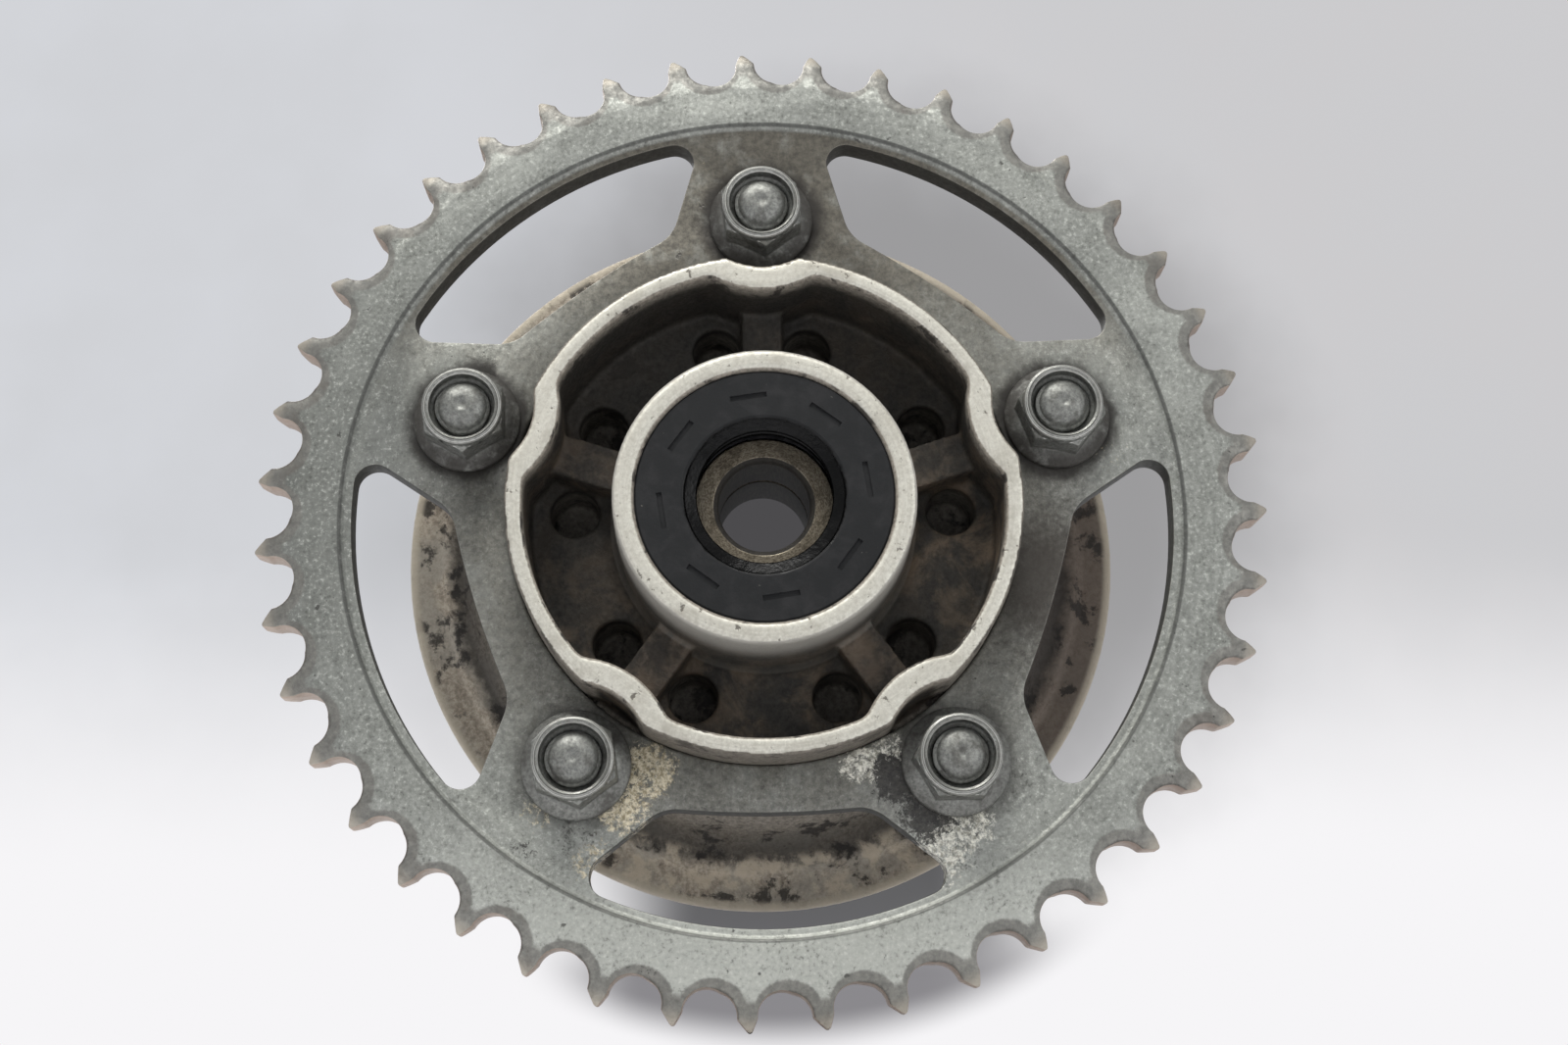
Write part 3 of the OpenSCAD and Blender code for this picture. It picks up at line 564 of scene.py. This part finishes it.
MATERIALS = {
    "sprocket_zinc": worn_zinc(),
    "cast_aluminium": cast_aluminium(),
    "nut_zinc": nut_zinc(),
    "stud_zinc": stud_zinc(),
    "seal_rubber": seal_rubber(),
    "bearing_rubber": plain_rubber("bearing_rubber", srgb(38, 38, 40)),
    "o_ring_rubber": plain_rubber("o_ring_rubber", srgb(30, 30, 31)),
    "pressed_steel": ground_steel("pressed_steel", srgb(170, 172, 172),
                                  srgb(132, 134, 135), 0.38),
    "bearing_steel": ground_steel("bearing_steel", srgb(140, 132, 116),
                                  srgb(92, 84, 72), 0.4, 0.6, 11 * MM),
    "cage_steel": ground_steel("cage_steel", srgb(186, 164, 120), srgb(140, 120, 84), 0.36),
    "collar_steel": ground_steel("collar_steel", srgb(136, 126, 110), srgb(84, 76, 66),
                                 0.4, 0.7, 10 * MM),
}


# ---- geometry ----------------------------------------------------------------------------

def finish_object(mesh, name, body, slot, replaced):
    """Makes a piece of a mesh, which rides on a body and stands for CAD nodes."""
    obj = bpy.data.objects.new(name, mesh)
    bpy.context.scene.collection.objects.link(obj)
    obj.data.materials.clear()
    obj.data.materials.append(MATERIALS[slot])
    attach(obj, body)
    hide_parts(*replaced)


def smooth_by_angle(mesh, degrees=30):
    """Smooth shading that keeps edges above an angle sharp."""
    b = bmesh.new()
    b.from_mesh(mesh)
    limit = math.radians(degrees)
    for f in b.faces:
        f.smooth = True
    for e in b.edges:
        e.smooth = len(e.link_faces) == 2 and e.calc_face_angle(0) < limit
    b.to_mesh(mesh)
    b.free()


def eased_copy(node, name, body, slot, width, segments=2, least=28):
    """A copy of a CAD node with its sharp edges rounded over, as wear leaves them."""
    b = bmesh.new()
    b.from_mesh(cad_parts[node].data)
    bmesh.ops.remove_doubles(b, verts=b.verts, dist=1e-6)
    bmesh.ops.dissolve_limit(b, angle_limit=math.radians(0.4), verts=b.verts, edges=b.edges)
    limit = math.radians(least)
    sharp = [e for e in b.edges if len(e.link_faces) == 2 and e.calc_face_angle(0) > limit]
    bmesh.ops.bevel(b, geom=sharp, offset=width, offset_type="OFFSET", segments=segments,
                    profile=0.5, affect="EDGES", clamp_overlap=False)
    bmesh.ops.recalc_face_normals(b, faces=b.faces)
    mesh = bpy.data.meshes.new(name)
    b.to_mesh(mesh)
    b.free()
    smooth_by_angle(mesh)
    finish_object(mesh, name, body, slot, (node,))


def cast_copy(node, name, body, slot, voxel, rounds, keep):
    """A copy of a CAD node, remeshed so that its edges and corners blend as a casting's do."""
    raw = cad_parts[node].data.copy()
    b = bmesh.new()
    b.from_mesh(raw)
    bmesh.ops.remove_doubles(b, verts=b.verts, dist=1e-6)
    b.to_mesh(raw)
    b.free()
    work = bpy.data.objects.new(name + "_work", raw)
    bpy.context.scene.collection.objects.link(work)
    remesh = work.modifiers.new("remesh", "REMESH")
    remesh.mode, remesh.voxel_size, remesh.adaptivity = "VOXEL", voxel, 0
    smooth = work.modifiers.new("smooth", "SMOOTH")
    smooth.factor, smooth.iterations = 0.5, rounds
    thin = work.modifiers.new("thin", "DECIMATE")
    thin.ratio = keep
    shape = work.evaluated_get(bpy.context.evaluated_depsgraph_get())
    mesh = bpy.data.meshes.new_from_object(shape)
    mesh.name = name
    bpy.data.objects.remove(work)
    smooth_by_angle(mesh, 50)
    finish_object(mesh, name, body, slot, (node,))


def lofted(name, rings, closed_ends=True):
    """A mesh through rings of points, each joined to the next; the first and last are filled."""
    verts = [p for ring in rings for p in ring]
    n = len(rings[0])
    faces = [(a + j, a + (j + 1) % n, a + n + (j + 1) % n, a + n + j)
             for a in range(0, n * (len(rings) - 1), n) for j in range(n)]
    if closed_ends:
        faces += [tuple(range(n))[::-1], tuple(range(n * (len(rings) - 1), len(verts)))]
    mesh = bpy.data.meshes.new(name)
    mesh.from_pydata([tuple(v) for v in verts], [], faces)
    b = bmesh.new()
    b.from_mesh(mesh)
    bmesh.ops.recalc_face_normals(b, faces=b.faces)
    b.to_mesh(mesh)
    b.free()
    return mesh


def threaded_stud(k):
    """A stud with its rolled thread, and the domed end with a centre mark that shows in the nut."""
    low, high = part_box(f"stud_{k}")
    x, z = (low.x + high.x) / 2, (low.z + high.z) / 2
    crest, depth, pitch, around = (high.x - low.x) / 2, 0.7 * MM, 1.25 * MM, 32
    end = low.y

    # the domed end, as radius and distance from the tip in mm
    dome = [(0.35, 0.42), (0.8, 0.3), (1.3, 0.03), (2.2, 0.08), (3.4, 0.42), (4.4, 0.98),
            (5.0, 1.6), (5.25, 2.3)]
    rings = [[(x + r * MM * math.cos(t), end + d * MM, z + r * MM * math.sin(t))
              for t in (2 * math.pi * j / around for j in range(around))] for r, d in dome]

    # the thread, with per_turn rings to each pitch
    start, stop, per_turn = end + 2.6 * MM, high.y - 0.9 * MM, 6
    steps = int((stop - start) / pitch * per_turn)
    for i in range(steps + 1):
        ring = []
        for j in range(around):
            turn = j / around
            phase = (i / per_turn - turn) % 1
            r = crest - depth * min(1, max(0, abs(2 * phase - 1) * 1.3 - 0.15))
            t = 2 * math.pi * turn
            ring.append((x + r * math.cos(t), start + i * pitch / per_turn,
                         z + r * math.sin(t)))
        rings.append(ring)
    rings.append([(x + (crest - 0.9 * MM) * math.cos(t), high.y, z + (crest - 0.9 * MM)
                   * math.sin(t)) for t in (2 * math.pi * j / around for j in range(around))])
    mesh = lofted(f"threaded_stud_{k}", rings)
    smooth_by_angle(mesh, 40)
    finish_object(mesh, f"threaded_stud_{k}", CARRIER, "stud_zinc", (f"stud_{k}",))


def garter_spring():
    """The seal's spring as the coil it is: fine wire wound round and closed into a ring."""
    low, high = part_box("seal_garter_spring")
    wire, y = 0.17 * MM, (low.y + high.y) / 2
    coil_r = (high.y - low.y) / 2 - wire
    ring_r = high.x - coil_r - wire
    turns, per_turn, sides = 250, 8, 5
    count = turns * per_turn

    def place(i):
        a, c = 2 * math.pi * i / count, 2 * math.pi * i / per_turn
        r = ring_r + coil_r * math.cos(c)
        return Vector((r * math.cos(a), y + coil_r * math.sin(c), r * math.sin(a)))

    rings = []
    for i in range(count):
        along = (place(i + 1) - place(i - 1)).normalized()
        out = along.cross(Vector((0, 1, 0))).normalized()
        side = along.cross(out)
        rings.append([place(i) + wire * (out * math.cos(t) + side * math.sin(t))
                      for t in (2 * math.pi * j / sides for j in range(sides))])
    rings.append(rings[0])
    mesh = lofted("garter_coil", rings, closed_ends=False)
    smooth_by_angle(mesh, 80)
    finish_object(mesh, "garter_coil", CARRIER, "pressed_steel", ("seal_garter_spring",))


eased_copy("sprocket", "sprocket_plate", CARRIER, "sprocket_zinc", 0.35 * MM)
voxel = 0.6 * MM
cast_copy("hub_carrier", "carrier_casting", CARRIER, "cast_aluminium", voxel, 4, 0.3)
for k in range(1, ARMS + 1):
    eased_copy(f"flange_nut_{k}", f"nut_{k}", CARRIER, "nut_zinc", 0.3 * MM, 3, 20)
    threaded_stud(k)
garter_spring()

for node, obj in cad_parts.items():
    if obj.hide_render:
        continue
    slot = obj.data.materials[0].name.split(".")[0]
    if slot in MATERIALS:
        obj.material_slots[0].link = "OBJECT"
        obj.material_slots[0].material = MATERIALS[slot]


# ---- camera, lights and stage ------------------------------------------------------------

def add_camera():
    """Stands where the photographer stood: low, in front, looking slightly up."""
    tilt, yaw, roll = (math.radians(a) for a in (-15.44, 1.29, -0.41))
    turn = Matrix.Rotation(yaw, 3, "Z") @ Matrix.Rotation(tilt, 3, "X") @ Matrix.Rotation(
        roll, 3, "Y")
    back = turn.transposed()
    place = back @ Vector((4.47 * MM, -471.5 * MM, -1.44 * MM))
    axes = [back @ Vector(v) for v in ((1, 0, 0), (0, 0, 1), (0, -1, 0))]
    data = bpy.data.cameras.new("camera")
    data.lens = 48.81
    data.sensor_width = 36
    camera = bpy.data.objects.new("camera", data)
    bpy.context.scene.collection.objects.link(camera)
    camera.matrix_world = Matrix.Translation(place) @ Matrix(axes).transposed().to_4x4()
    bpy.context.scene.camera = camera


def add_light(name, place, target, size, power, colour=(1, 1, 1)):
    """A soft light that faces target."""
    data = bpy.data.lights.new(name, "AREA")
    data.shape = "RECTANGLE"
    data.size, data.size_y = size
    data.energy = power
    data.color = colour
    lamp = bpy.data.objects.new(name, data)
    bpy.context.scene.collection.objects.link(lamp)
    lamp.location = place
    lamp.rotation_mode = "QUATERNION"
    lamp.rotation_quaternion = (Vector(target) - Vector(place)).to_track_quat("-Z", "Y")


def one_sided(material):
    """Lets a sheet be seen only from its front, so that it never hides the object."""
    tree = material.node_tree
    geometry = tree.nodes.new("ShaderNodeNewGeometry")
    clear = tree.nodes.new("ShaderNodeBsdfTransparent")
    blend = tree.nodes.new("ShaderNodeMixShader")
    tree.links.new(geometry.outputs["Backfacing"], blend.inputs[0])
    tree.links.new(tree.nodes["Principled BSDF"].outputs[0], blend.inputs[1])
    tree.links.new(clear.outputs[0], blend.inputs[2])
    tree.links.new(blend.outputs[0], tree.nodes["Material Output"].inputs[0])


def add_sheet(name, corners, material):
    """A flat part of the stage."""
    mesh = bpy.data.meshes.new(name)
    mesh.from_pydata(corners, [], [(0, 1, 2, 3)])
    mesh.materials.append(material)
    one_sided(material)
    sheet = bpy.data.objects.new(name, mesh)
    bpy.context.scene.collection.objects.link(sheet)
    return sheet


def add_floor():
    """A pale floor; the camera looks up from just under its level, so it shows from above only."""
    low, half = cad_box[0].z - 0.05 * MM, STAGE_HALF
    add_sheet("floor", [(-half, -half, low), (half, -half, low), (half, half, low),
                        (-half, half, low)], stage_material("floor_paper", srgb(236, 236, 240)))


def add_backdrop():
    """Pale cloth close behind the part, white low down, with painted shade where the part shades
    it; it glows with that colour instead of being lit.
    """
    half, low, high = STAGE_HALF, cad_box[0].z - 60 * MM, 2.4
    s = Shader("backdrop_cloth", roughness=1.0, specular=0.0)

    # the cloth, paler low down
    clouds = s.noise(0.07, 4, 0.55)
    cloth = s.mix(s.step(s.x, -0.16, 0.14), srgb(212, 214, 219), srgb(204, 203, 205))
    cloth = s.mix(s.step(clouds, 0.35, 0.7, 0, 0.5), cloth, srgb(203, 204, 207))
    white = s.math("MULTIPLY_ADD", clouds, 0.03, s.z)
    cloth = s.mix(s.step(white, 0.045, -0.05), cloth, srgb(246, 245, 247))

    # painted shade behind the part and to its right, under the disc, behind the bore, at its foot
    folds = s.noise(0.03, 3, 0.5, seed=3)
    behind = s.step(s.away(*SHADE_MIDDLE), 0.125, 0.105, 0, 0.22)
    cloth = s.mix(behind, cloth, srgb(138, 140, 143))
    side = s.math("MULTIPLY_ADD", folds, 0.03, s.away(30 * MM, 38 * MM))
    cloth = s.mix(s.step(side, 0.15, 0.09, 0, 0.72), cloth, srgb(138, 137, 138))
    across = s.math("ABSOLUTE", s.math("SUBTRACT", s.x, 14 * MM))
    down = s.math("ABSOLUTE", s.math("ADD", s.z, 66 * MM))
    under = s.math("MULTIPLY", s.step(across, 0.062, 0.03), s.step(down, 0.03, 0.016, 0, 0.9))
    cloth = s.mix(under, cloth, srgb(70, 70, 72))
    cloth = s.mix(s.step(s.away(*SHADE_MIDDLE), 0.032, 0.02), cloth, srgb(76, 75, 77))
    foot_shade = s.step(s.away(5 * MM, 25 * MM), 0.14, 0.128)
    foot_shade = s.math("MULTIPLY", foot_shade, s.step(s.z, -0.075, -0.095))
    foot_shade = s.math("MULTIPLY", foot_shade, s.step(s.x, -0.065, -0.03, 0, 0.85))
    foot_shade = s.math("MULTIPLY", foot_shade, s.step(s.x, 0.11, 0.04, 0.1, 1.0))
    cloth = s.mix(foot_shade, cloth, srgb(104, 102, 107))
    # the cloth glows with its painted colour and painted shade instead of being lit
    s.set(Base_Color=(0, 0, 0, 1), Emission_Color=cloth, Emission_Strength=1.0)
    wall = add_sheet("backdrop", [(-half, WALL_Y, low), (half, WALL_Y, low),
                                  (half, WALL_Y, high), (-half, WALL_Y, high)], s.material)
    wall.visible_shadow = wall.visible_diffuse = wall.visible_glossy = False


def add_world():
    """An even, pale room light."""
    world = bpy.data.worlds.new("studio")
    world.use_nodes = True
    sky = world.node_tree.nodes["Background"]
    sky.inputs["Color"].default_value = srgb(226, 228, 232)
    sky.inputs["Strength"].default_value = 0.5
    bpy.context.scene.world = world


add_camera()
add_floor()
add_backdrop()
add_world()
add_light("key", (-0.2, -0.5, 0.95), (0, 0, 0), (0.8, 0.5), 12.5, (1.0, 0.99, 0.96))
add_light("fill", (0.8, -0.8, 0.2), (0, 0, 0), (0.6, 0.6), 2.5)
add_light("back", (-0.5, 0.9, 0.8), (0, 0.03, 0), (0.8, 0.6), 9)
bpy.context.scene.view_settings.view_transform = "Standard"
